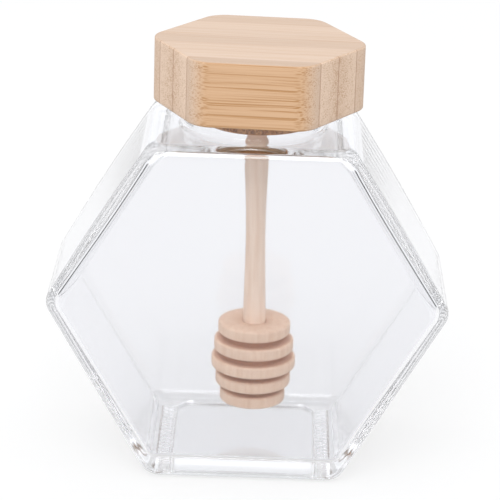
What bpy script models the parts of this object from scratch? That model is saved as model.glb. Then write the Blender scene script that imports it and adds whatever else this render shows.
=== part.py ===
# Honey pot with dipper: a six-sided clear glass jar that stands on one edge of
# the hexagon, a hexagonal bamboo lid with a round plug that sits in the jar's
# neck, and a turned wooden dipper whose rod hangs from the plug.
# Metres, +Z up. The pot stands on z = 0 and its front faces -Y.

import math

import bpy

MM = 0.001

# Glass jar, outside: a hexagon seen from the front, carried straight back
jarWidth = 118.0 * MM          # between the two side ridges, before rounding
jarDepth = 55.2 * MM           # front face to back face
jarHeight = 101.9 * MM         # up to the flat shoulder
ridgeHeight = 53.1 * MM        # height of the side ridges
footHalf = 28.1 * MM           # middle to the foot's end corner
shoulderHalf = 29.2 * MM       # middle to the shoulder's end corner
cornerRound = 4.0 * MM         # foot and shoulder corners
ridgeRound = 5.0 * MM          # side ridges
faceRound = 4.0 * MM           # edges round the front and back faces
faceRoundMiddle = 5.5 * MM     # the same edges beside the side ridges
sideBulge = 0.5 * MM           # upper slopes swell by this

# Glass jar, inside
wall = 3.0 * MM
floorThick = 5.4 * MM
shoulderThick = 2.6 * MM
roofCornerRound = 8.0 * MM     # under the shoulder, seen from the front
insideRound = 1.2 * MM         # under the shoulder, along the front and back faces
insideFloorRound = 3.0 * MM    # round the inside floor
insideCorner = 2.5 * MM        # upright inside corners

# Neck
neckOuter = 20.3 * MM          # radius
neckInner = 17.4 * MM          # radius
neckTop = 107.6 * MM
neckFillet = 1.8 * MM
lipRound = 1.2 * MM
funnelRound = 3.5 * MM

# Underside: a sunk rectangle inside a standing rim, which is cut low in the
# middle of its front and back
sunkHalfX = 21.4 * MM
sunkHalfY = 22.0 * MM
sunkDepth = 1.5 * MM
sunkCorner = 4.5 * MM
sunkSlope = 0.6 * MM
rimCutHalf = 18.6 * MM
rimCutHeight = 0.5 * MM

# Lid: a rounded hexagon with a round plug and a blind hole for the rod
lidApothem = 27.4 * MM
lidCorner = 8.0 * MM
lidBottom = 107.9 * MM
lidTop = 126.9 * MM
lidEdge = 0.6 * MM
lidTurn = math.radians(-3.5)
lidShift = 1.2 * MM            # the lid sits a little to the right in the neck
plugRadius = 15.9 * MM
plugBottom = 103.0 * MM
plugEdge = 0.8 * MM
rodHoleRadius = 3.3 * MM
rodHoleTop = 116.0 * MM

# Dipper rod, which leans a little to the right on its way down
rodTop = 115.5 * MM
rodBottom = 36.4 * MM
rodLean = math.radians(0.85)
rodAtTop = 0.95 * MM           # X of the rod's axis at its top end
tenonRadius = 2.75 * MM
rodStations = [                # height, radius
    (102.4 * MM, 2.75 * MM),
    (98.0 * MM, 2.8 * MM),
    (95.2 * MM, 3.5 * MM),
    (92.0 * MM, 3.65 * MM),
    (84.0 * MM, 3.25 * MM),
    (77.0 * MM, 2.98 * MM),
    (68.0 * MM, 2.85 * MM),
    (60.0 * MM, 2.95 * MM),
    (50.0 * MM, 3.2 * MM),
    (42.0 * MM, 3.4 * MM),
]
rodEndRound = 0.4 * MM

# Dipper head: five rings with four grooves between them
headX = 2.1 * MM
headTop = 40.9 * MM
headBottom = 15.9 * MM
ringRadii = [10.75 * MM, 11.85 * MM, 12.55 * MM, 11.2 * MM, 9.75 * MM]
ringThick = 3.45 * MM
grooveDepth = 3.2 * MM
ringRound = 0.7 * MM
socketRadius = 3.8 * MM
socketDepth = 4.9 * MM

# How finely round shapes are cut
jarPoints = 48                 # points round each closed ring
lidPoints = 48
rodPoints = 20
headPoints = 32
roundSteps = 4                 # steps along a large rounding
edgeSteps = 3                  # steps along a small rounding
lidEdgeSteps = 2
bulgeSteps = 5                 # steps up a swelling slope

glassColour = (0.93, 0.95, 0.96)
bambooColour = (0.72, 0.47, 0.27)
beechColour = (0.75, 0.54, 0.41)


def clearScene():
    for item in list(bpy.data.objects):
        bpy.data.objects.remove(item, do_unlink=True)


def makeMaterial(name, colour, roughness, transmission=0.0):
    material = bpy.data.materials.new(name)
    material.use_nodes = True
    shader = material.node_tree.nodes["Principled BSDF"]
    shader.inputs["Base Color"].default_value = (*colour, 1.0)
    shader.inputs["Roughness"].default_value = roughness
    shader.inputs["Metallic"].default_value = 0.0
    shader.inputs["Transmission Weight"].default_value = transmission
    return material


def makeObject(name, rings, material):
    """A closed solid from rings of equal point count, each joined to the next,
    with the first and the last ring filled. The rings run so that, going from
    one to the next, the outside is on the right of the ring's own direction."""
    count = len(rings[0])
    points = [point for ring in rings for point in ring]
    faces = []
    for row in range(len(rings) - 1):
        for k in range(count):
            after = (k + 1) % count
            low, high = row * count, (row + 1) * count
            faces.append((low + k, low + after, high + after, high + k))
    last = (len(rings) - 1) * count
    faces.append(tuple(reversed(range(count))))
    faces.append(tuple(last + k for k in range(count)))
    mesh = bpy.data.meshes.new(name)
    mesh.from_pydata(points, [], faces)
    mesh.validate()
    mesh.shade_smooth()
    mesh.set_sharp_from_angle(angle=math.radians(35.0))
    mesh.materials.append(material)
    item = bpy.data.objects.new(name, mesh)
    bpy.context.scene.collection.objects.link(item)
    return item


def arcRing(centres, radius, height, count, first=0.0):
    """One flat ring: an equal share of the points on an arc round each centre,
    which gives a circle where all the centres are the same point."""
    share = count // len(centres)
    step = 2.0 * math.pi / count
    ring = []
    for k in range(count):
        angle = first + (k + 0.5) * step
        centreX, centreY = centres[k // share]
        ring.append((centreX + radius * math.cos(angle), centreY + radius * math.sin(angle), height))
    return ring


def boxRing(halfX, halfY, corner, height):
    """A rectangle with rounded corners."""
    inX, inY = halfX - corner, halfY - corner
    centres = [(inX, inY), (-inX, inY), (-inX, -inY), (inX, -inY)]
    return arcRing(centres, corner, height, jarPoints)


def neckRing(radius, height):
    return boxRing(radius, radius, radius, height)


def hexRing(apothem, corner, height):
    """A regular hexagon with rounded corners, two of its sides along X."""
    reach = (apothem - corner) / math.cos(math.radians(30.0))
    centres = []
    for k in range(6):
        angle = math.radians(60.0 * k)
        centres.append((reach * math.cos(angle), reach * math.sin(angle)))
    return arcRing(centres, corner, height, lidPoints, first=math.radians(-30.0))


def plugRing(radius, height):
    return hexRing(radius, radius, height)


def discRing(radius, height, count):
    return arcRing([(0.0, 0.0)], radius, height, count)


def roundCorner(before, corner, after, radius, steps):
    """Points on the arc of this radius that rounds a corner between two
    straight lines, from the line before it to the line after it."""
    inward = (before[0] - corner[0], before[1] - corner[1])
    onward = (after[0] - corner[0], after[1] - corner[1])
    inwardLength, onwardLength = math.hypot(*inward), math.hypot(*onward)
    ux, uy = inward[0] / inwardLength, inward[1] / inwardLength
    vx, vy = onward[0] / onwardLength, onward[1] / onwardLength
    half = 0.5 * math.acos(max(-1.0, min(1.0, ux * vx + uy * vy)))
    reach = radius / math.sin(half)
    middleX, middleY = ux + vx, uy + vy
    length = math.hypot(middleX, middleY)
    centreX = corner[0] + middleX / length * reach
    centreY = corner[1] + middleY / length * reach
    tangent = radius / math.tan(half)
    start = math.atan2(corner[1] + uy * tangent - centreY, corner[0] + ux * tangent - centreX)
    end = math.atan2(corner[1] + vy * tangent - centreY, corner[0] + vx * tangent - centreX)
    sweep = (end - start + math.pi) % (2.0 * math.pi) - math.pi
    points = []
    for k in range(steps + 1):
        angle = start + sweep * k / steps
        points.append((centreX + radius * math.cos(angle), centreY + radius * math.sin(angle)))
    return points


def shiftedCorner(before, corner, after, shiftBefore, shiftAfter):
    """Where two outline lines cross once each is moved inwards, to its left."""
    ax, ay = corner[0] - before[0], corner[1] - before[1]
    bx, by = after[0] - corner[0], after[1] - corner[1]
    aLength, bLength = math.hypot(ax, ay), math.hypot(bx, by)
    px = corner[0] - ay / aLength * shiftBefore
    py = corner[1] + ax / aLength * shiftBefore
    qx = corner[0] - by / bLength * shiftAfter
    qy = corner[1] + bx / bLength * shiftAfter
    along = ((qx - px) * by - (qy - py) * bx) / (ax * by - ay * bx)
    return (px + ax * along, py + ay * along)


def roundedHalf(half, height, bottom, top, bottomRound, topRound):
    """Half the depth at a height, where the face turns over at both ends."""
    rise, drop = height - bottom, top - height
    if rise < bottomRound:
        return half - bottomRound + math.sqrt(max(0.0, bottomRound**2 - (bottomRound - rise)**2))
    if drop < topRound:
        return half - topRound + math.sqrt(max(0.0, topRound**2 - (topRound - drop)**2))
    return half


def onLine(start, end, part):
    return (start[0] + (end[0] - start[0]) * part, start[1] + (end[1] - start[1]) * part)


def partAtHeight(start, end, height):
    return (height - start[1]) / (end[1] - start[1])


def quarterTurn(steps):
    """Sine and cosine along a quarter of a circle, from (0, 1) to (1, 0)."""
    angles = [0.5 * math.pi * k / steps for k in range(steps + 1)]
    return [(math.sin(angle), math.cos(angle)) for angle in angles]


def jarOutsideRings():
    """The outside from the standing rim up to the neck's lip."""
    half = jarWidth / 2.0
    foot, ridge, shoulder = (footHalf, 0.0), (half, ridgeHeight), (shoulderHalf, jarHeight)
    footArc = roundCorner((0.0, 0.0), foot, ridge, cornerRound, roundSteps)
    ridgeArc = roundCorner(foot, ridge, shoulder, ridgeRound, roundSteps + 1)
    shoulderArc = roundCorner(ridge, shoulder, (0.0, jarHeight), cornerRound, roundSteps)
    lowerTurn = partAtHeight(footArc[-1], ridgeArc[0], faceRound)
    upperTurn = partAtHeight(ridgeArc[-1], shoulderArc[0], jarHeight - faceRound)
    outline = footArc
    outline += [onLine(footArc[-1], ridgeArc[0], lowerTurn * part) for part in (0.5, 1.0)]
    outline += ridgeArc
    slopeLength = math.hypot(half - shoulderHalf, jarHeight - ridgeHeight)
    outX = (jarHeight - ridgeHeight) / slopeLength
    outZ = (half - shoulderHalf) / slopeLength
    for part in [k / bulgeSteps for k in range(1, bulgeSteps)] + [upperTurn]:
        swell = sideBulge * math.sin(math.pi * part)
        x, z = onLine(ridgeArc[-1], shoulderArc[0], part)
        outline.append((x + outX * swell, z + outZ * swell))
    outline += shoulderArc
    rings = []
    for x, z in outline:
        y = roundedHalf(jarDepth / 2.0, z, 0.0, jarHeight, faceRound, faceRound)
        nearRidge = max(0.0, 1.0 - abs(z - ridgeHeight) / ridgeHeight)
        corner = faceRound + (faceRoundMiddle - faceRound) * nearRidge
        rings.append(boxRing(x, y, corner, z))
    for outward, upward in quarterTurn(roundSteps):
        radius = neckOuter + neckFillet * (1.0 - outward)
        rings.append(neckRing(radius, jarHeight + neckFillet * (1.0 - upward)))
    for outward, upward in quarterTurn(edgeSteps):
        radius = neckOuter - lipRound * (1.0 - upward)
        rings.append(neckRing(radius, neckTop - lipRound * (1.0 - outward)))
    return rings


def jarInsideRings():
    """The inside from the lip down the neck to the inside floor."""
    half = jarWidth / 2.0
    foot, ridge, shoulder = (footHalf, 0.0), (half, ridgeHeight), (shoulderHalf, jarHeight)
    floorCorner = shiftedCorner((0.0, 0.0), foot, ridge, floorThick, wall)
    ridgeCorner = shiftedCorner(foot, ridge, shoulder, wall, wall)
    roofCorner = shiftedCorner(ridge, shoulder, (0.0, jarHeight), wall, shoulderThick)
    floor, roof = floorCorner[1], roofCorner[1]
    rings = []
    for outward, upward in quarterTurn(edgeSteps):
        radius = neckInner + lipRound * (1.0 - outward)
        rings.append(neckRing(radius, neckTop - lipRound * (1.0 - upward)))
    for outward, upward in quarterTurn(roundSteps):
        radius = neckInner + funnelRound * (1.0 - upward)
        rings.append(neckRing(radius, roof + funnelRound * (1.0 - outward)))
    roofArc = roundCorner((0.0, roof), roofCorner, ridgeCorner, roofCornerRound, roundSteps + 2)
    ridgeArc = roundCorner(roofCorner, ridgeCorner, floorCorner, ridgeRound, roundSteps)
    floorArc = roundCorner(ridgeCorner, floorCorner, (0.0, floor), insideFloorRound, roundSteps)
    lowerTurn = partAtHeight(ridgeArc[-1], floorArc[0], floor + insideFloorRound)
    outline = roofArc + ridgeArc
    outline += [onLine(ridgeArc[-1], floorArc[0], lowerTurn)] + floorArc
    for x, z in outline:
        y = roundedHalf(jarDepth / 2.0 - wall, z, floor, roof, insideFloorRound, insideRound)
        rings.append(boxRing(x, y, insideCorner, z))
    return rings


def jarUndersideRings():
    """The sunk rectangle, from its own flat out to the standing rim."""
    rings = []
    for inward, upward in quarterTurn(edgeSteps):
        slope = sunkSlope * (1.0 - inward)
        rings.append(boxRing(sunkHalfX - slope, sunkHalfY - slope, sunkCorner - slope, sunkDepth * upward))
    return rings


def makeJar(material):
    rings = jarUndersideRings() + jarOutsideRings() + jarInsideRings()
    jar = makeObject("glass_jar", rings, material)
    for name, side in (("front_rim_cut", -1.0), ("back_rim_cut", 1.0)):
        cutter = makeRimCutter(name, side)
        cut = jar.modifiers.new(name, "BOOLEAN")
        cut.operation = "DIFFERENCE"
        cut.solver = "EXACT"
        cut.object = cutter
    return jar


def makeRimCutter(name, side):
    """A low block that opens the middle of the standing rim on one side."""
    nearY = sunkHalfY - 2.0 * sunkSlope
    farY = jarDepth / 2.0 + faceRound
    bpy.ops.mesh.primitive_cube_add(size=1.0, location=(0.0, side * (nearY + farY) / 2.0, 0.0))
    cutter = bpy.context.object
    cutter.name = name
    cutter.scale = (2.0 * rimCutHalf, farY - nearY, 2.0 * rimCutHeight)
    cutter.hide_render = True
    cutter.display_type = "WIRE"
    return cutter


def makeLid(material):
    """Top, side, underside and plug in one piece, ending in the rod's hole."""
    rings = [plugRing(rodHoleRadius, rodHoleTop), plugRing(rodHoleRadius, plugBottom)]
    rings += [plugRing(plugRadius - plugEdge, plugBottom), plugRing(plugRadius, plugBottom + plugEdge)]
    rings.append(plugRing(plugRadius, lidBottom))
    for outward, upward in quarterTurn(lidEdgeSteps):
        inset = lidEdge * (1.0 - outward)
        rings.append(hexRing(lidApothem - inset, lidCorner - inset, lidBottom + lidEdge * (1.0 - upward)))
    for outward, upward in quarterTurn(lidEdgeSteps):
        inset = lidEdge * (1.0 - upward)
        rings.append(hexRing(lidApothem - inset, lidCorner - inset, lidTop - lidEdge * (1.0 - outward)))
    lid = makeObject("bamboo_lid", rings, material)
    lid.location = (lidShift, 0.0, 0.0)
    lid.rotation_euler = (0.0, 0.0, lidTurn)
    return lid


def makeRod(material):
    """A turned rod, built down its own axis from its top end and then leant."""
    profile = [(rodBottom, rodStations[-1][1] - rodEndRound)]
    profile.append((rodBottom + rodEndRound, rodStations[-1][1]))
    profile += list(reversed(rodStations))
    profile += [(rodTop - rodEndRound, tenonRadius), (rodTop, tenonRadius - rodEndRound)]
    rings = [discRing(radius, height - rodTop, rodPoints) for height, radius in profile]
    rod = makeObject("dipper_rod", rings, material)
    rod.location = (rodAtTop, 0.0, rodTop)
    rod.rotation_euler = (0.0, -rodLean, 0.0)
    return rod


def makeHead(material):
    """Five turned rings on one core, with a blind socket in the top."""
    pitch = (headTop - headBottom - ringThick) / (len(ringRadii) - 1)
    turn = ringRound * (1.0 - math.cos(math.radians(45.0)))
    profile = []
    for k, radius in enumerate(reversed(ringRadii)):
        low = headBottom + k * pitch
        high = low + ringThick
        core = radius - grooveDepth
        if k > 0:
            profile.append((low, core))
        profile += [(low, radius - ringRound), (low + turn, radius - turn), (low + ringRound, radius)]
        profile += [(high - ringRound, radius), (high - turn, radius - turn), (high, radius - ringRound)]
        if k < len(ringRadii) - 1:
            profile.append((high, core))
    profile += [(headTop, socketRadius), (headTop - socketDepth, socketRadius)]
    rings = [discRing(radius, height, headPoints) for height, radius in profile]
    head = makeObject("dipper_head", rings, material)
    head.location = (headX, 0.0, 0.0)
    return head


def buildPot():
    clearScene()
    glass = makeMaterial("clear_glass", glassColour, 0.05, 1.0)
    bamboo = makeMaterial("bamboo", bambooColour, 0.5)
    beech = makeMaterial("turned_beech", beechColour, 0.6)
    makeJar(glass)
    makeLid(bamboo)
    makeRod(beech)
    makeHead(beech)


buildPot()
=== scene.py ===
import math

import bpy
import numpy as np
from mathutils import Matrix, Vector


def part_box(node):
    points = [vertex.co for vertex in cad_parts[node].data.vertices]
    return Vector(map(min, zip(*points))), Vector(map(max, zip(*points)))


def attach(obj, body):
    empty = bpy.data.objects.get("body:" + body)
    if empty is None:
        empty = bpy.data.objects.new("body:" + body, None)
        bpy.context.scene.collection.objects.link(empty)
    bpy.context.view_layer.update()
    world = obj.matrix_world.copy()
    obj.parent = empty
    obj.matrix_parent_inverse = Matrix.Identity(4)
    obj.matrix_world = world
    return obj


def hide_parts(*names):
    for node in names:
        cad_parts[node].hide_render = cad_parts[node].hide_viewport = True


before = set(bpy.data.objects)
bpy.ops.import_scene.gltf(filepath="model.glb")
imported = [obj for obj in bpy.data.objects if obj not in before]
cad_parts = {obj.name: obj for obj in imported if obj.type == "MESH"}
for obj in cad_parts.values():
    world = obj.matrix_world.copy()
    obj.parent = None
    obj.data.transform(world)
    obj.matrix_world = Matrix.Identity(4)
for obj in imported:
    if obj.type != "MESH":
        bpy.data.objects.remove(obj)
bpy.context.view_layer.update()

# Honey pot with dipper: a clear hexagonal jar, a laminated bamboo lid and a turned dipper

mm = 0.001
nearlyNothing = 1e-9               # lengths below this count as zero
polePart = 0.3                     # a small ring round the pole of a flat end, as a part of its edge


# Shader maths


class Wire:
    # a socket that can stand in a sum, each operator adds its own Math node
    def __init__(self, sheet, socket):
        self.sheet = sheet
        self.socket = socket

    def math(self, operation, first, second=None, clamp=False):
        values = {0: first} if second is None else {0: first, 1: second}
        return self.sheet.node("ShaderNodeMath", {"operation": operation, "use_clamp": clamp}, values)

    def __add__(self, other):
        return self.math("ADD", self, other)

    def __radd__(self, other):
        return self.math("ADD", other, self)

    def __sub__(self, other):
        return self.math("SUBTRACT", self, other)

    def __rsub__(self, other):
        return self.math("SUBTRACT", other, self)

    def __mul__(self, other):
        return self.math("MULTIPLY", self, other)

    def __rmul__(self, other):
        return self.math("MULTIPLY", other, self)

    def __truediv__(self, other):
        return self.math("DIVIDE", self, other)

    def __rtruediv__(self, other):
        return self.math("DIVIDE", other, self)

    def __abs__(self):
        return self.math("ABSOLUTE", self)

    def floor(self):
        return self.math("FLOOR", self)

    def fraction(self):
        return self.math("FRACT", self)

    def clamped(self):
        return self.math("ADD", self, 0.0, clamp=True)

    def eased(self, low, high):
        # 0 below low, 1 above high, a smooth step between them
        values = {"Value": self, "From Min": low, "From Max": high}
        return self.sheet.node("ShaderNodeMapRange", {"interpolation_type": "SMOOTHSTEP"}, values)


class Sheet:
    # the node tree of one material, or of the world
    def __init__(self, tree):
        self.tree = tree
        tree.nodes.clear()

    def node(self, kind, settings=None, values=None, out=0):
        made = self.tree.nodes.new(kind)
        for key, value in (settings or {}).items():
            setattr(made, key, value)
        for key, value in (values or {}).items():
            if isinstance(value, Wire):
                self.tree.links.new(value.socket, made.inputs[key])
            else:
                made.inputs[key].default_value = value
        return Wire(self, made.outputs[out]) if made.outputs else None

    def place(self):
        # Object coordinates, in metres
        return self.node("ShaderNodeTexCoord", out=3)

    def split(self, vector):
        made = self.node("ShaderNodeSeparateXYZ", None, {0: vector})
        outputs = made.socket.node.outputs
        return [Wire(self, outputs[k]) for k in range(3)]

    def join(self, x, y, z):
        return self.node("ShaderNodeCombineXYZ", None, {0: x, 1: y, 2: z})

    def mix(self, factor, first, second, blend="MIX"):
        # colours only: socket 0 is the factor, 6 and 7 are the colours
        settings = {"data_type": "RGBA", "blend_type": blend, "clamp_factor": True}
        return self.node("ShaderNodeMix", settings, {0: factor, 6: first, 7: second}, out=2)

    def noise(self, axes, rates, detail=2.0):
        # soft random tones, each axis with its own rate to the metre
        vector = self.join(*(axis * rate for axis, rate in zip(axes, rates)))
        values = {"Vector": vector, "Scale": 1.0, "Detail": detail, "Roughness": 0.5}
        return self.node("ShaderNodeTexNoise", None, values)

    def bump(self, height, distance, strength):
        values = {"Height": height, "Distance": distance, "Strength": strength}
        return self.node("ShaderNodeBump", None, values)

    def surface(self, values):
        # the one Principled shader of a material
        self.finish(self.node("ShaderNodeBsdfPrincipled", None, values))

    def finish(self, shader, kind="ShaderNodeOutputMaterial"):
        self.node(kind, None, {"Surface": shader})


def fromSrgb(red, green, blue):
    # a screen colour of 0 to 255 as the linear colour that shaders take
    linear = []
    for value in (red / 255.0, green / 255.0, blue / 255.0):
        linear.append(value / 12.92 if value <= 0.04045 else ((value + 0.055) / 1.055) ** 2.4)
    return (*linear, 1.0)


def newSheet(name):
    material = bpy.data.materials.new(name)
    material.use_nodes = True
    return material, Sheet(material.node_tree)


# Surfaces


def addSurface(name, x, y, z, material, paintedShade=None):
    # A closed skin over a grid: row r is a ring, and ring r joins ring r + 1.
    # The first and last rings close on a point at their own middle. Painted shade is a
    # number for each ring that the material may read, to paint shade darker there.
    rows, cols = x.shape
    grid = np.stack([x, y, z], axis=-1).reshape(-1, 3)
    poles = np.stack([grid[:cols].mean(axis=0), grid[-cols:].mean(axis=0)])
    points = np.concatenate([grid, poles])
    here = np.arange(cols)
    after = (here + 1) % cols
    low = np.arange(rows - 1)[:, None] * cols
    high = low + cols
    quads = np.stack([low + here, low + after, high + after, high + here], axis=-1).reshape(-1, 4)
    last = (rows - 1) * cols
    lowFan = np.stack([np.full(cols, rows * cols), after, here], axis=-1)
    highFan = np.stack([np.full(cols, rows * cols + 1), last + here, last + after], axis=-1)
    mesh = bpy.data.meshes.new(name)
    mesh.from_pydata(points.tolist(), [], quads.tolist() + lowFan.tolist() + highFan.tolist())
    mesh.shade_smooth()
    mesh.materials.append(material)
    if paintedShade is not None:
        spread = np.concatenate([np.repeat(paintedShade, cols), [paintedShade[0], paintedShade[-1]]])
        mesh.attributes.new("paintedShade", "FLOAT", "POINT").data.foreach_set("value", spread.astype(np.float32))
    piece = bpy.data.objects.new(name, mesh)
    bpy.context.scene.collection.objects.link(piece)
    print(name, len(mesh.polygons), "faces")
    return piece


def dress(piece, node):
    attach(piece, "root")
    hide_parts(node)


def rings(*values):
    # one row for each ring: its sizes and, last, its height
    return np.stack(np.broadcast_arrays(*values), axis=-1)


def quarterTurn(steps):
    # 1 - cos and 1 - sin of an angle from 0 to 90 degrees, which draw a rounded edge
    turn = np.linspace(0.0, 0.5 * math.pi, steps)
    return 1.0 - np.cos(turn), 1.0 - np.sin(turn)


def cornerGrid(centres, corner, z, firstAngle, lean, arcSteps, sides):
    # Rings as rows, each a polygon with rounded corners. Round corner k the angle
    # turns through its share and a point is centre + corner * (cos, sin); along the
    # side after it the centre slides straight to the next one, at the parts that
    # sides gives in turn. Where all centres are one point the ring is a circle, and
    # each side takes twice the lean.
    count = centres.shape[1]
    share = 2.0 * math.pi / count
    arc = np.linspace(0.0, 1.0, arcSteps + 1)
    owner, slide, polygon, circle = [], [], [], []
    for k in range(count):
        start, side = firstAngle + k * share, sides[k % len(sides)]
        end = start + share
        owner.append(np.full(len(arc) + len(side), k))
        slide.append(np.concatenate([0.0 * arc, side]))
        polygon.append(np.concatenate([start + share * arc, 0.0 * side + end]))
        circle.append(np.concatenate([start + lean + (share - 2 * lean) * arc, end + lean * (2 * side - 1)]))
    owner, slide, polygon, circle = (np.concatenate(parts) for parts in (owner, slide, polygon, circle))
    here, after = centres[:, owner], centres[:, (owner + 1) % count]
    middle = here + (after - here) * slide[None, :, None]
    isCircle = np.abs(centres).max(axis=(1, 2))[:, None] < nearlyNothing
    angle = np.where(isCircle, circle[None, :], polygon[None, :])
    corner, z = np.asarray(corner, float)[:, None], np.asarray(z, float)[:, None]
    return middle[..., 0] + corner * np.cos(angle), middle[..., 1] + corner * np.sin(angle), z + 0.0 * angle


def unit(vector):
    return vector / np.linalg.norm(vector)


def roundOff(before, corner, after, radius, steps):
    # Arc of the radius between two straight lines that meet at a corner:
    # its centre is on the line that halves the corner, radius / sin(half angle) out.
    before, corner, after = (np.array(point, float) for point in (before, corner, after))
    toBefore, toAfter = unit(before - corner), unit(after - corner)
    half = 0.5 * math.acos(float(np.clip(toBefore @ toAfter, -1.0, 1.0)))
    centre = corner + unit(toBefore + toAfter) * radius / math.sin(half)
    start = corner + toBefore * radius / math.tan(half) - centre
    end = corner + toAfter * radius / math.tan(half) - centre
    first, last = math.atan2(start[1], start[0]), math.atan2(end[1], end[0])
    sweep = (last - first + math.pi) % (2.0 * math.pi) - math.pi
    angle = first + sweep * np.linspace(0.0, 1.0, steps + 1)
    return centre + radius * np.stack([np.cos(angle), np.sin(angle)], axis=-1)


def closeAtEnds(steps, evenness=0.0):
    # Parts from 0 to 1 without the two ends: half a cosine wave, which puts them
    # close together near the ends, blended with even steps.
    even = np.arange(1, steps + 1) / (steps + 1)
    return evenness * even + (1.0 - evenness) * (0.5 - 0.5 * np.cos(math.pi * even))


def insetCorner(before, corner, after, insetBefore, insetAfter):
    # where two lines of an outline cross once each has moved to its left
    before, corner, after = (np.array(point, float) for point in (before, corner, after))
    first, second = unit(corner - before), unit(after - corner)
    onFirst = corner + insetBefore * np.array([-first[1], first[0]])
    onSecond = corner + insetAfter * np.array([-second[1], second[0]])
    along = np.linalg.solve(np.array([first, -second]).T, onSecond - onFirst)
    return onFirst + first * along[0]


def turnOver(half, z, bottom, top, bottomRound, topRound):
    # half a depth at height z, where the face rolls over in a quarter circle at both ends
    rise = np.clip(bottomRound - (z - bottom), 0.0, bottomRound)
    drop = np.clip(topRound - (top - z), 0.0, topRound)
    low = bottomRound - np.sqrt(bottomRound**2 - rise**2)
    high = topRound - np.sqrt(topRound**2 - drop**2)
    return half - low - high


def eased(value, low, high):
    # 0 below low, 1 above high, a smooth step between them
    part = np.clip((value - low) / (high - low), 0.0, 1.0)
    return part * part * (3.0 - 2.0 * part)


# Glass jar

jarLow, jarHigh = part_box("glass_jar")
jarSet = {
    "depth": jarHigh.y - jarLow.y + 0.018 * mm,    # the solid's facets stop that much short
    "lipHeight": jarHigh.z,
    "width": 118.0 * mm,           # between the side ridges before rounding
    "height": 101.9 * mm,          # to the shoulder
    "ridgeHeight": 53.1 * mm,
    "footHalf": 28.1 * mm,
    "shoulderHalf": 29.2 * mm,
    "cornerRound": 4.0 * mm,
    "ridgeRound": 5.0 * mm,
    "faceRound": 4.0 * mm,
    "faceRoundMiddle": 5.5 * mm,
    "bulge": 0.5 * mm,             # the upper sides swell by this
    "wall": 3.0 * mm,
    "floorThick": 5.4 * mm,
    "shoulderThick": 2.6 * mm,
    "insideRound": 1.2 * mm,       # front and back, under the shoulder
    "roofCornerRound": 8.0 * mm,   # seen from the front, at the ends of the roof
    "insideFloorRound": 3.0 * mm,
    "insideCorner": 2.5 * mm,
    "neckOuter": 20.3 * mm,
    "neckInner": 17.4 * mm,
    "neckFillet": 1.8 * mm,
    "filletEdge": 0.2 * mm,        # flat between the shoulder's rings and the fillet
    "shoulderEdge": 0.3 * mm,      # flat inside the shoulder's rounded edge
    "lipRound": 1.2 * mm,
    "funnelRound": 3.5 * mm,
    "sunkHalf": (21.4 * mm, 22.0 * mm),
    "sunkDepth": 1.5 * mm,
    "sunkCorner": 4.5 * mm,
    "sunkSlope": 0.6 * mm,
    "rimCutHalf": 18.6 * mm,       # low cut in the standing rim, front and back
    "rimCutHeight": 0.5 * mm,
    "rimCutSoft": 0.6 * mm,
    "rimCutDepths": (20.5 * mm, 21.5 * mm),        # it starts at one and is full at the other
    "gripHeight": 0.35 * mm,       # raised dots on the standing rim, left and right
    "gripRadius": 0.8 * mm,
    "gripTop": 0.3,                # flat part of a dot's radius
    "gripPitch": (1.6 * mm, 2.6 * mm),
    "gripBand": (22.0 * mm, 25.4 * mm, 20.0 * mm),  # from and to in X, half its length in Y
    "gripSoft": 0.3 * mm,
    "frontSteps": 26,              # points along the front
    "sideSteps": 84,               # points along a side
    "sideEvenness": 0.8,
    "arcSteps": 54,                # points round a corner
    "neckLean": math.radians(6.0),  # half of what a side takes of the round neck
    "rimSteps": 14,                # rings across the standing rim
    "slopeSteps": 8,
    "turnSteps": 10,
    "outsideArcs": (10, 11, 10),   # foot, ridge and shoulder
    "insideArcs": (16, 12, 10),    # roof, ridge and floor
    "neckSteps": (9, 10),          # outside and inside
    "sunkSteps": 8,
    "floorParts": (0.985, 0.8, 0.6, 0.4, 0.2, 0.02),  # rings of the flat floor, as parts of its edge
    "sunkParts": (0.02, 0.3, 0.6, 0.9, 0.99),
}


def boxGrid(halfX, halfY, corner, z):
    # rings with four rounded corners, or circles where the half sizes are the corner's radius
    inX, inY = halfX - corner, halfY - corner
    signs = (1, 1), (-1, 1), (-1, -1), (1, -1)
    centres = np.stack([np.stack([inX * signX, inY * signY], axis=-1) for signX, signY in signs], axis=1)
    front, side = closeAtEnds(jarSet["frontSteps"]), closeAtEnds(jarSet["sideSteps"], jarSet["sideEvenness"])
    return cornerGrid(centres, corner, z, 0.0, jarSet["neckLean"], jarSet["arcSteps"], [front, side])


def neckRings(radius, z):
    return rings(radius, radius, radius, z)


def slopeRows(start, end, lowTurn, highTurn):
    # Stations of a straight slope: close together at both ends, and in even
    # steps of angle where the front and back faces turn over.
    low, high = min(start[1], end[1]), max(start[1], end[1])
    turn = quarterTurn(jarSet["turnSteps"])[0]
    heights = np.concatenate([
        low + (high - low) * closeAtEnds(jarSet["slopeSteps"]),
        lowTurn[0] + lowTurn[1] * turn,
        highTurn[0] - highTurn[1] * turn,
    ])
    apart, decimals = 0.01 * mm, 6
    heights = heights[(heights > low + apart) & (heights < high - apart)]
    heights = np.unique(np.round(heights, decimals))
    part = np.sort((heights - start[1]) / (end[1] - start[1]))
    return np.array(start) + (np.array(end) - np.array(start)) * part[:, None]


def jarCorners(jar):
    # foot, ridge and shoulder of the hexagon's right half before rounding, as (x, z)
    foot, ridge = (jar["footHalf"], 0.0), (jar["width"] / 2, jar["ridgeHeight"])
    return foot, ridge, (jar["shoulderHalf"], jar["height"])


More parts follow.
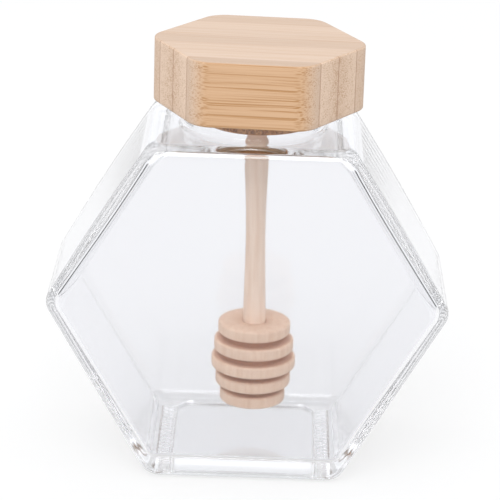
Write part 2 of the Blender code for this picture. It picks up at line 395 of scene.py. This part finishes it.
def jarOutside(jar):
    # half width, half depth, corner radius and height of each ring up the outside
    foot, ridge, shoulder = jarCorners(jar)
    footSteps, ridgeSteps, shoulderSteps = jar["outsideArcs"]
    footArc = roundOff((0.0, 0.0), foot, ridge, jar["cornerRound"], footSteps)
    ridgeArc = roundOff(foot, ridge, shoulder, jar["ridgeRound"], ridgeSteps)
    shoulderArc = roundOff(ridge, shoulder, (0.0, jar["height"]), jar["cornerRound"], shoulderSteps)
    turns = (0.0, jar["faceRound"]), (jar["height"], jar["faceRound"])
    lower = slopeRows(footArc[-1], ridgeArc[0], *turns)
    upper = slopeRows(ridgeArc[-1], shoulderArc[0], *turns)
    part = (upper[:, 1] - upper[0, 1]) / (upper[-1, 1] - upper[0, 1])
    outward = np.array([shoulder[1] - ridge[1], ridge[0] - shoulder[0]])
    upper = upper + jar["bulge"] * np.sin(math.pi * part)[:, None] * outward / np.linalg.norm(outward)
    x, z = np.concatenate([footArc, lower, ridgeArc, upper, shoulderArc]).T
    y = turnOver(jar["depth"] / 2, z, 0.0, jar["height"], jar["faceRound"], jar["faceRound"])
    near = np.clip(1.0 - np.abs(z - jar["ridgeHeight"]) / jar["ridgeHeight"], 0.0, 1.0)
    corner = jar["faceRound"] + (jar["faceRoundMiddle"] - jar["faceRound"]) * near
    body = rings(x, y, corner, z)
    flat = body[-1:] - np.array([jar["shoulderEdge"], jar["shoulderEdge"], jar["shoulderEdge"], 0.0])
    skirtRadius = jar["neckOuter"] + jar["neckFillet"] + jar["filletEdge"]
    skirt = neckRings([skirtRadius], jar["height"])
    toCos, toSin = quarterTurn(jar["neckSteps"][0])
    filletRadius = jar["neckOuter"] + jar["neckFillet"] * toSin
    fillet = neckRings(filletRadius, jar["height"] + jar["neckFillet"] * toCos)
    lip = neckRings(jar["neckOuter"] - jar["lipRound"] * toCos, jar["lipHeight"] - jar["lipRound"] * toSin)
    return np.concatenate([body, flat, skirt, fillet, lip])


def jarInside(jar):
    # the same four values for each ring down the inside
    foot, ridge, shoulder = jarCorners(jar)
    floorCorner = insetCorner((0.0, 0.0), foot, ridge, jar["floorThick"], jar["wall"])
    ridgeCorner = insetCorner(foot, ridge, shoulder, jar["wall"], jar["wall"])
    roofCorner = insetCorner(ridge, shoulder, (0.0, jar["height"]), jar["wall"], jar["shoulderThick"])
    floor, roof = floorCorner[1], roofCorner[1]
    toCos, toSin = quarterTurn(jar["neckSteps"][1])
    lip = neckRings(jar["neckInner"] + jar["lipRound"] * toSin, jar["lipHeight"] - jar["lipRound"] * toCos)
    funnel = neckRings(jar["neckInner"] + jar["funnelRound"] * toCos, roof + jar["funnelRound"] * toSin)
    roofSteps, ridgeSteps, floorSteps = jar["insideArcs"]
    roofArc = roundOff((0.0, roof), roofCorner, ridgeCorner, jar["roofCornerRound"], roofSteps)
    ridgeArc = roundOff(roofCorner, ridgeCorner, floorCorner, jar["ridgeRound"], ridgeSteps)
    floorArc = roundOff(ridgeCorner, floorCorner, (0.0, floor), jar["insideFloorRound"], floorSteps)
    turns = (floor, jar["insideFloorRound"]), (roof, jar["insideRound"])
    upper = slopeRows(roofArc[-1], ridgeArc[0], *turns)
    lower = slopeRows(ridgeArc[-1], floorArc[0], *turns)
    x, z = np.concatenate([roofArc, upper, ridgeArc, lower, floorArc]).T
    y = turnOver(jar["depth"] / 2 - jar["wall"], z, floor, roof, jar["insideFloorRound"], jar["insideRound"])
    body = rings(x, y, jar["insideCorner"], z)
    inner = body[-1] * np.array(jar["floorParts"])[:, None]
    inner[:, 3] = floor
    return np.concatenate([lip, funnel, body, inner])


def jarUnderside(jar):
    # from the middle of the sunk rectangle out to the standing rim
    halfX, halfY = jar["sunkHalf"]
    toCos, toSin = quarterTurn(jar["sunkSteps"])
    slope = jar["sunkSlope"] * toSin
    edge = rings(halfX - slope, halfY - slope, jar["sunkCorner"] - slope, jar["sunkDepth"] * (1.0 - toCos))
    inner = edge[0] * np.array(jar["sunkParts"])[:, None]
    inner[:, 3] = jar["sunkDepth"]
    return np.concatenate([inner, edge])


def gripRise(jar, x, y):
    # The standing rim is sunk by the grips' height in a band on the left and the
    # right, except in dots in staggered rows: 1 - dot, times the band.
    fromX, toX, toY = jar["gripBand"]
    pitchX, pitchY = jar["gripPitch"]
    columns = (np.abs(x) - fromX) / pitchX
    across = columns % 1.0 - 0.5
    along = (y / pitchY + 0.5 * np.floor(columns)) % 1.0 - 0.5
    away = np.hypot(across * pitchX, along * pitchY)
    dot = 1.0 - eased(away, jar["gripTop"] * jar["gripRadius"], jar["gripRadius"])
    soft = jar["gripSoft"]
    band = eased(np.abs(x), fromX - soft, fromX) * (1.0 - eased(np.abs(x), toX, toX + soft))
    return jar["gripHeight"] * (1.0 - dot) * band * (1.0 - eased(np.abs(y), toY - soft, toY))


def makeJar(jar, material):
    # Rings from the middle of the underside out to the rim, up the outside to the
    # lip and down the inside to the middle of the floor. No point of the rim is
    # lower than its cuts and grips let it be.
    underside, outside, inside = jarUnderside(jar), jarOutside(jar), jarInside(jar)
    part = np.linspace(0.0, 1.0, jar["rimSteps"] + 2)[1:-1, None]
    rim = underside[-1] + (outside[0] - underside[-1]) * part
    x, y, z = boxGrid(*np.concatenate([underside, rim, outside, inside]).T)
    cutHalf, soft = jar["rimCutHalf"], jar["rimCutSoft"]
    across = 1.0 - eased(np.abs(x), cutHalf - soft, cutHalf + soft)
    cut = jar["rimCutHeight"] * across * eased(np.abs(y), *jar["rimCutDepths"])
    z = np.maximum(z, cut + gripRise(jar, x, y))
    return addSurface("honey_jar", x, y, z, material)


glassSet = {
    "wallTint": (0.944, 0.946, 0.962, 1.0),
    "footShadowTint": (0.69, 0.695, 0.705, 1.0),         # painted shade: a grey foot for the jar's shadow on the floor under it
    "footTop": (4.9 * mm, 5.3 * mm),
    "footFace": (23.4 * mm, 24.2 * mm),            # all of the painted shade at the front and back
    "footMiddle": 0.3,                             # and this share of it between them
    "roughness": 0.07,
    "ior": 1.5,
}


def glassMaterial(looks):
    # clear glass, with painted shade below the floor's upper side: a grey tint for the jar's shadow under it
    material, sheet = newSheet("clear_glass")
    y, z = sheet.split(sheet.place())[1:]
    # painted shade in the foot, strongest at the front and back
    face = looks["footMiddle"] + (1.0 - looks["footMiddle"]) * abs(y).eased(*looks["footFace"])
    foot = (1.0 - z.eased(*looks["footTop"])) * face
    sheet.surface({
        "Base Color": sheet.mix(foot, looks["wallTint"], looks["footShadowTint"]),
        "Roughness": looks["roughness"],
        "IOR": looks["ior"],
        "Transmission Weight": 1.0,
    })
    return material


# Lid

lidLow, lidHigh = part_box("bamboo_lid")
lidSet = {
    "apothem": 27.4 * mm,
    "corner": 8.0 * mm,
    "bottom": 107.9 * mm,
    "top": lidHigh.z,
    "edge": 0.6 * mm,
    "turn": math.radians(-3.5),
    "middle": ((lidLow.x + lidHigh.x) / 2, (lidLow.y + lidHigh.y) / 2),
    "plugRadius": 15.9 * mm,
    "plugBottom": lidLow.z,
    "plugEdge": 0.8 * mm,
    "holeRadius": 3.3 * mm,
    "holeTop": 116.0 * mm,
    "holeRing": 6.0 * mm,          # a ring of the hole, under its top
    "softEdge": 0.2 * mm,          # at the hole's mouth and where the plug meets the lid
    "plugRing": 9.54 * mm,         # radii of a ring under the plug and of one under the lid
    "underRing": 17.9 * mm,
    "wallEnds": 2.0 * mm,
    "strip": 8.1 * mm,             # width of one glued strip
    "firstJoint": -22.3 * mm,      # Y of the joint nearest the front
    "arcSteps": 18,
    "sideSteps": 16,
    "plugLean": math.radians(4.0),  # half of what a side takes of the round plug
    "edgeSteps": 7,
    "wallSteps": 6,
    "topParts": (0.99, 0.6, 0.3, 0.05),            # rings of the flat top, as parts of its edge
}


def hexGrid(apothem, corner, z):
    # rings with six rounded corners, or circles where the apothem is the corner's radius
    reach = (apothem - corner) / math.cos(math.pi / 6)
    angle = np.arange(6) * math.pi / 3
    centres = np.stack([reach[:, None] * np.cos(angle), reach[:, None] * np.sin(angle)], axis=-1)
    side = closeAtEnds(lidSet["sideSteps"])
    return cornerGrid(centres, corner, z, -math.pi / 6, lidSet["plugLean"], lidSet["arcSteps"], [side])


def makeLid(lid, material):
    # Rings down the rod's hole, out and up round the plug, out under the lid, up its
    # wall and in over the top. The first ones are circles.
    toCos, toSin = quarterTurn(lid["edgeSteps"])
    hole, holeTop, soft = lid["holeRadius"], lid["holeTop"], lid["softEdge"]
    plug, plugBottom = lid["plugRadius"], lid["plugBottom"]
    bottom, top = lid["bottom"], lid["top"]
    inHole = [(polePart * hole, holeTop), (hole, holeTop), (hole, holeTop - lid["holeRing"])]
    mouth = [(hole, plugBottom + soft), (hole + soft, plugBottom), (lid["plugRing"], plugBottom)]
    plugEdge = rings(plug - lid["plugEdge"] * toSin, plugBottom + lid["plugEdge"] * toCos)
    under = [(plug, bottom - soft), (plug + soft / 2, bottom), (lid["underRing"], bottom)]
    radius, height = np.concatenate([inHole, mouth, plugEdge, under]).T
    wall = np.linspace(bottom + lid["wallEnds"], top - lid["wallEnds"], lid["wallSteps"])
    apothem, corner, edge = lid["apothem"], lid["corner"], lid["edge"]
    parts = np.array(lid["topParts"])
    rows = np.concatenate([
        rings(radius, radius, height),
        rings(apothem - edge * toSin, corner - edge * toSin, bottom + edge * toCos),
        rings(apothem, corner, wall),
        rings(apothem - edge * toCos, corner - edge * toCos, top - edge * toSin),
        rings(parts * (apothem - edge), parts * (corner - edge), top),
    ])
    x, y, z = hexGrid(*rows.T)
    cosTurn, sinTurn = math.cos(lid["turn"]), math.sin(lid["turn"])
    midX, midY = lid["middle"]
    return addSurface("lid", midX + cosTurn * x - sinTurn * y, midY + sinTurn * x + cosTurn * y, z, material)


bambooSet = {
    "face": fromSrgb(197, 163, 130),               # front and back, along the grain
    "faceFibre": fromSrgb(150, 106, 56),
    "end": fromSrgb(203, 180, 160),                # the four faces that cut across it
    "endFibre": fromSrgb(166, 132, 102),
    "top": fromSrgb(176, 156, 139),
    "topShade": fromSrgb(150, 118, 92),
    "joint": fromSrgb(142, 102, 76),
    "plugPale": fromSrgb(226, 160, 96),
    "plugDark": fromSrgb(172, 104, 52),
    "stripDark": (0.90, 0.87, 0.84, 1.0),          # a strip's own tone is between these two
    "stripPale": (1.06, 1.05, 1.04, 1.0),
    "stripDraw": 3.3,                              # starts the draw of those tones
    "plugTop": (0.6 * mm, 0.1 * mm),               # the plug's colour ends this far under the lid
    "fibreRate": 2250.0,           # bundles of fibre to the metre, across the grain
    "fibreAlong": 15.0,
    "fibreSway": (1.6, 2.4),       # across and up, in bundles
    "fibreReach": (0.27, 0.3),     # a bundle's radius in the pith, and how much it grows to the skin
    "fibreSoft": 0.12,
    "fibreContrast": 2.2,
    "fibreShow": (0.25, 0.6),      # the weakest bundle, and how much stronger the strongest is
    "fibreHidden": 0.86,           # how much of a bundle the top hides
    "skinFrom": 0.45,              # the end grain darkens from here to the skin
    "skinShow": 0.35,
    "poreFrom": 0.42,
    "poreShow": 0.7,
    "broadShow": 0.16,
    "jointEdge": (0.005, 0.035),   # as parts of a strip
    "jointShow": (0.3, 0.35),      # everywhere, and what end grain adds
    "swayRates": (16.0, 70.0, 70.0),
    "strengthRates": (9.0, 500.0, 500.0),
    "fineRates": (45.0, 2400.0, 2400.0),
    "broadRates": (5.0, 330.0, 120.0),
    "speckleRates": (1900.0, 1900.0, 900.0),
    "endFrom": (0.22, 0.84),       # end grain grows between these shares of the normal's X
    "topFrom": (0.45, 0.9),        # and the top's paler wood between these of its Z
    "roughness": (0.5, 0.12),      # plain, and what the pores add
    "ior": 1.45,
    "bumpHeight": 0.05 * mm,
    "bumpStrength": 0.6,
}


def bambooMaterial(lid, looks):
    material, sheet = newSheet("laminated_bamboo")
    values = {"Vector": sheet.place(), "Location": (*lid["middle"], 0.0), "Rotation": (0.0, 0.0, lid["turn"])}
    axes = sheet.split(sheet.node("ShaderNodeMapping", {"vector_type": "TEXTURE"}, values))
    x, y, z = axes
    normal = sheet.split(sheet.node("ShaderNodeTexCoord", out=1))
    endGrain = abs(normal[0]).eased(*looks["endFrom"])
    topFace = normal[2].eased(*looks["topFrom"])
    plug = 1.0 - z.eased(*(lid["bottom"] - under for under in looks["plugTop"]))
    # glued strips, laid skin side to skin side in pairs
    across = (y - lid["firstJoint"]) / lid["strip"]
    strip, within = across.floor(), across.fraction()
    odd = (strip * 0.5).fraction() * 2.0
    skin = within + odd * (1.0 - 2.0 * within)
    draw = {"W": strip + looks["stripDraw"]}
    tone = sheet.node("ShaderNodeTexWhiteNoise", {"noise_dimensions": "1D"}, draw)
    # bundles of fibre: long thin cells along X, thicker and closer near the skin
    sway = sheet.noise(axes, looks["swayRates"])
    cellY, cellZ = (axis * looks["fibreRate"] + sway * by for axis, by in zip((y, z), looks["fibreSway"]))
    values = {"Vector": sheet.join(x * looks["fibreAlong"], cellY, cellZ), "Scale": 1.0, "Randomness": 0.85}
    cell = sheet.node("ShaderNodeTexVoronoi", {"feature": "F1"}, values)
    reach = looks["fibreReach"][0] + looks["fibreReach"][1] * skin
    spot = ((1.0 - cell / (reach + looks["fibreSoft"])).clamped() * looks["fibreContrast"]).clamped()
    strength = sheet.noise(axes, looks["strengthRates"]).eased(0.3, 0.7)
    fine = sheet.noise(axes, looks["fineRates"])
    broad = sheet.noise(axes, looks["broadRates"], 3.0)
    # the wood's own colour, then fibre, pores, soft shades, glue lines and the plug over it
    base = sheet.mix(topFace, sheet.mix(endGrain, looks["face"], looks["end"]), looks["top"])
    base = sheet.mix(1.0, base, sheet.mix(tone, looks["stripDark"], looks["stripPale"]), "MULTIPLY")
    dark = sheet.mix(endGrain, looks["faceFibre"], looks["endFibre"])
    show = looks["fibreShow"][0] + looks["fibreShow"][1] * strength
    base = sheet.mix(spot * show * (1.0 - topFace * looks["fibreHidden"]), base, dark)
    base = sheet.mix((skin - looks["skinFrom"]).clamped() * looks["skinShow"] * endGrain, base, dark)
    base = sheet.mix((fine - looks["poreFrom"]).clamped() * looks["poreShow"], base, dark)
    base = sheet.mix(broad.eased(0.5, 0.75) * looks["broadShow"] * topFace, base, looks["topShade"])
    joint = 1.0 - (0.5 - abs(within - 0.5)).eased(*looks["jointEdge"])
    show = looks["jointShow"][0] + looks["jointShow"][1] * endGrain
    base = sheet.mix(joint * show, base, looks["joint"])
    speckle = sheet.noise(axes, looks["speckleRates"]).eased(0.35, 0.65)
    base = sheet.mix(plug, base, sheet.mix(speckle, looks["plugPale"], looks["plugDark"]))
    height = fine * 0.4 - spot * 0.6 - joint * 0.8
    sheet.surface({
        "Base Color": base,
        "Roughness": looks["roughness"][0] + fine * looks["roughness"][1],
        "IOR": looks["ior"],
        "Normal": sheet.bump(height, looks["bumpHeight"], looks["bumpStrength"]),
    })
    return material


# Dipper

headLow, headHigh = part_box("dipper_head")
rodSet = {
    "top": 115.5 * mm,
    "bottom": 36.4 * mm,
    "lean": math.radians(0.85),
    "atTop": 0.95 * mm,
    "stations": [                  # height and radius in mm
        (102.4, 2.75), (98.0, 2.8), (95.2, 3.5), (92.0, 3.65), (84.0, 3.25),
        (77.0, 2.98), (68.0, 2.85), (60.0, 2.95), (50.0, 3.2), (42.0, 3.4),
    ],
    "end": 0.4 * mm,
    "endSteps": 6,
    "steps": 160,
    "around": 96,
    "smoothing": 9,                # rings that one radius is averaged over
    "paintedShadeFrom": 90.0 * mm,        # painted shade: the wood is drawn darker towards the lid, where the lid shades it
    "paintedShadeTo": 103.0 * mm,
}
headSet = {
    "x": (headLow.x + headHigh.x) / 2,
    "top": headHigh.z,
    "bottom": headLow.z,
    "rings": (10.75 * mm, 11.85 * mm, 12.55 * mm, 11.2 * mm, 9.75 * mm),
    "ringThick": 3.45 * mm,
    "ringRound": 0.7 * mm,
    "roundSteps": 7,
    "grooveDepth": 3.2 * mm,
    "grooveParts": (1.0, 0.75, 0.5, 0.25),
    "socketRadius": 3.5 * mm,      # the rod is glued in
    "socketDepth": 4.9 * mm,
    "socketEdge": 0.3 * mm,
    "firstRing": 1.0 * mm,         # radii of the rings round the two poles
    "lastRing": 0.5 * mm,
    "around": 144,
}


def turned(radius, z, around):
    # a profile spun round Z in that many steps: (radius cos, radius sin, z)
    angle = np.arange(around)[None, :] * 2.0 * math.pi / around
    radius, z = np.asarray(radius, float)[:, None], np.asarray(z, float)[:, None]
    return radius * np.cos(angle), radius * np.sin(angle), z + 0.0 * angle


def makeRod(rod, material):
    # the radius runs smoothly through the stations; painted shade grows towards the lid
    heights, radii = np.array(rod["stations"])[::-1].T * mm
    bottom, top = rod["bottom"], rod["top"]
    z = np.linspace(bottom + rod["end"], top - rod["end"], rod["steps"])
    kernel = np.hanning(rod["smoothing"]) / np.hanning(rod["smoothing"]).sum()
    padded = np.pad(np.interp(z, heights, radii), rod["smoothing"] // 2, mode="edge")
    radius = np.convolve(padded, kernel, mode="valid")
    toCos, toSin = quarterTurn(rod["endSteps"])
    lift, draw = rod["end"] * toSin, rod["end"] * toCos
    allZ = np.concatenate([[bottom], bottom + lift[::-1], z[1:-1], top - lift, [top]])
    lowEnd = [[radius[0] * polePart], radius[0] - draw[::-1]]
    highEnd = [radius[-1] - draw, [radius[-1] * polePart]]
    allRadii = np.concatenate([*lowEnd, radius[1:-1], *highEnd])
    # painted shade, darker wood under the lid
    paintedShade = eased(allZ, rod["paintedShadeFrom"], rod["paintedShadeTo"])
    x, y, z = turned(allRadii, allZ - top, rod["around"])
    cosLean, sinLean = math.cos(rod["lean"]), math.sin(rod["lean"])
    leantX, leantZ = rod["atTop"] + cosLean * x - sinLean * z, top + sinLean * x + cosLean * z
    return addSurface("dipper_stick", leantX, y, leantZ, material, paintedShade)


def makeHead(head, material):
    # Five rounded rings on one core, from below, then the socket. A station is its
    # height, its radius and its painted shade, which grows with how deep in a groove it lies.
    count = len(head["rings"])
    pitch = (head["top"] - head["bottom"] - head["ringThick"]) / (count - 1)
    toCos, toSin = quarterTurn(head["roundSteps"])
    # these parts also set the painted shade of the groove rows, darker deeper in
    parts = np.array(head["grooveParts"])
    profile = [rings([head["bottom"]], head["firstRing"], 0.0)]
    for k, radius in enumerate(reversed(head["rings"])):
        low = head["bottom"] + k * pitch
        high = low + head["ringThick"]
        edge = radius - head["ringRound"] * toCos
        if k > 0:
            profile.append(rings(low, radius - head["grooveDepth"] * parts, parts))
        profile.append(rings(low + head["ringRound"] * toSin, edge, 0.0)[::-1])
        profile.append(rings(high - head["ringRound"] * toSin, edge, 0.0))
        if k < count - 1:
            profile.append(rings(high, radius - head["grooveDepth"] * parts, parts)[::-1])
    mouth, floor = head["top"] - head["socketEdge"], head["top"] - head["socketDepth"]
    # painted shade in the socket, darkest at its floor
    profile.append([
        (head["top"], head["socketRadius"] + head["socketEdge"], 0.1),
        (mouth, head["socketRadius"], 0.8),
        (floor, head["socketRadius"], 1.0),
        (floor, head["lastRing"], 1.0),
    ])
    z, radius, paintedShade = np.concatenate(profile).T
    x, y, z = turned(radius, z, head["around"])
    return addSurface("dipper_rings", head["x"] + x, y, z, material, paintedShade)


woodSet = {
    "stick": (fromSrgb(255, 231, 211), fromSrgb(246, 211, 185)),   # plain, and the painted shade where it is 1
    # plain, and the painted shade of the grooves and the socket
    "rings": (fromSrgb(249, 217, 192), fromSrgb(205, 150, 118)),
    "grainTone": (0.86, 0.76, 0.68, 1.0),
    "grainRates": (700.0, 700.0, 30.0),
    "fleckRates": (2600.0, 2600.0, 260.0),
    "grainFrom": (0.38, 0.72),
    "grainShow": 0.55,
    "fleckFrom": (0.56, 0.76),
    "fleckShow": 0.4,
    "roughness": (0.55, 0.15),     # plain, and what the flecks add
    "ior": 1.45,
    "bumpHeight": 0.05 * mm,
    "bumpStrength": 0.5,
}


def woodMaterial(name, looks, plain, paintedShadeColour):
    # pale close wood: faint grain along Z, short flecks, and painted shade: darker where the painted shade is
    # 1
    material, sheet = newSheet(name)
    axes = sheet.split(sheet.place())
    paintedShade = sheet.node("ShaderNodeAttribute", {"attribute_name": "paintedShade"}, None, out=2)
    grain = sheet.noise(axes, looks["grainRates"], 3.0)
    fleck = sheet.noise(axes, looks["fleckRates"])
    darker = tuple(value * share for value, share in zip(plain, looks["grainTone"]))
    base = sheet.mix(grain.eased(*looks["grainFrom"]) * looks["grainShow"], plain, darker)
    base = sheet.mix(fleck.eased(*looks["fleckFrom"]) * looks["fleckShow"], base, darker)
    # painted shade: the darker colour where the attribute is 1
    base = sheet.mix(paintedShade, base, paintedShadeColour)
    sheet.surface({
        "Base Color": base,
        "Roughness": looks["roughness"][0] + fleck * looks["roughness"][1],
        "IOR": looks["ior"],
        "Normal": sheet.bump(grain * 0.5 + fleck * 0.5, looks["bumpHeight"], looks["bumpStrength"]),
    })
    return material


# Stage, light and camera

stageSet = {
    "floorSize": 6.0,
    "floorColour": (0.15, 0.15, 0.15, 1.0),
    "floorGlow": 0.76,
    "skyColour": (0.97, 0.98, 1.0, 1.0),
    "skyTop": 1.5,
    "skyBack": 1.08,
    "skyFront": 0.5,
    "skyTurn": (-0.6, 0.6),        # from the front's level to the back's
    "skyRise": (0.2, 0.7),         # from the sides' level to the top's
    "cardPlace": (0.84, 0.5, 0.17),
    "cardReach": (0.08, 0.2),
    "reflections": 32,
    "lampPlace": (-0.2, -1.3, 1.5),
    "lampAim": (0.0, 0.0, 0.07),
    "lampSize": (1.6, 1.2),
    "lampRadiance": 5.0,
}
cameraSet = {
    "place": (5.9 * mm, -675.5 * mm, 304.3 * mm),
    "down": math.radians(19.685),
    "left": math.radians(0.488),
    "roll": math.radians(1.755),
    "focalPixels": 2423.2,
    "framePixels": 500.0,
    "sensor": 36.0,
    "clip": (0.05, 20.0),
}


def makeStage(stage):
    # a wide pale floor that glows a little, like a light table
    half = stage["floorSize"] / 2
    corners = [(-half, -half, 0), (half, -half, 0), (half, half, 0), (-half, half, 0)]
    mesh = bpy.data.meshes.new("floor")
    mesh.from_pydata(corners, [], [(0, 1, 2, 3)])
    floor = bpy.data.objects.new("floor", mesh)
    bpy.context.scene.collection.objects.link(floor)
    material, sheet = newSheet("pale_floor")
    sheet.surface({
        "Base Color": stage["floorColour"],
        "Roughness": 0.9,
        "Specular IOR Level": 0.0,
        "Emission Color": (1.0, 1.0, 1.0, 1.0),
        "Emission Strength": stage["floorGlow"],
    })
    mesh.materials.append(material)


def makeSky(stage):
    # brightest overhead and behind the pot, dimmer on the camera's side
    world = bpy.data.worlds.new("studio")
    bpy.context.scene.world = world
    world.use_nodes = True
    sheet = Sheet(world.node_tree)
    x, y, z = sheet.split(sheet.node("ShaderNodeTexCoord", out=0))
    around = stage["skyFront"] + (stage["skyBack"] - stage["skyFront"]) * y.eased(*stage["skyTurn"])
    high = z.eased(*stage["skyRise"])
    level = around * (1.0 - high) + stage["skyTop"] * high
    # a dark card far back on each side draws a thin line along the glass ridges
    values = {0: sheet.join(abs(x), y, z), 1: stage["cardPlace"]}
    away = sheet.node("ShaderNodeVectorMath", {"operation": "DISTANCE"}, values, out=1)
    values = {"Color": stage["skyColour"], "Strength": level * away.eased(*stage["cardReach"])}
    sheet.finish(sheet.node("ShaderNodeBackground", None, values), "ShaderNodeOutputWorld")


def makeLamp(stage):
    # one large soft box above the camera's left shoulder
    data = bpy.data.lights.new("soft_box", "AREA")
    data.shape = "RECTANGLE"
    data.size, data.size_y = stage["lampSize"]
    data.energy = stage["lampRadiance"] * math.pi * data.size * data.size_y
    lamp = bpy.data.objects.new("soft_box", data)
    bpy.context.scene.collection.objects.link(lamp)
    place = Vector(stage["lampPlace"])
    aim = (Vector(stage["lampAim"]) - place).to_track_quat("-Z", "Y").to_matrix().to_4x4()
    lamp.matrix_world = Matrix.Translation(place) @ aim


def makeCamera(view):
    # stands at its place, looks down and a little to the left, and is rolled last
    data = bpy.data.cameras.new("camera")
    camera = bpy.data.objects.new("camera", data)
    bpy.context.scene.collection.objects.link(camera)
    data.sensor_width = view["sensor"]
    data.lens = view["focalPixels"] * view["sensor"] / view["framePixels"]
    data.clip_start, data.clip_end = view["clip"]
    turn = Matrix.Rotation(view["left"], 4, "Z") @ Matrix.Rotation(0.5 * math.pi - view["down"], 4, "X")
    turn = turn @ Matrix.Rotation(view["roll"], 4, "Z")
    camera.matrix_world = Matrix.Translation(Vector(view["place"])) @ turn
    bpy.context.scene.camera = camera


makeStage(stageSet)
makeSky(stageSet)
makeLamp(stageSet)
makeCamera(cameraSet)
bpy.context.scene.view_settings.view_transform = "Standard"
# thick glass turns light round many times
for kind in ("max_bounces", "glossy_bounces", "transmission_bounces"):
    setattr(bpy.context.scene.cycles, kind, stageSet["reflections"])
print("stage, sky and camera ready")

glass = glassMaterial(glassSet)
bamboo = bambooMaterial(lidSet, bambooSet)
stickWood = woodMaterial("turned_stick", woodSet, *woodSet["stick"])
headWood = woodMaterial("turned_rings", woodSet, *woodSet["rings"])
dress(makeJar(jarSet, glass), "glass_jar")
dress(makeLid(lidSet, bamboo), "bamboo_lid")
dress(makeRod(rodSet, stickWood), "dipper_rod")
dress(makeHead(headSet, headWood), "dipper_head")
print("pieces ready")

bpy.context.view_layer.update()
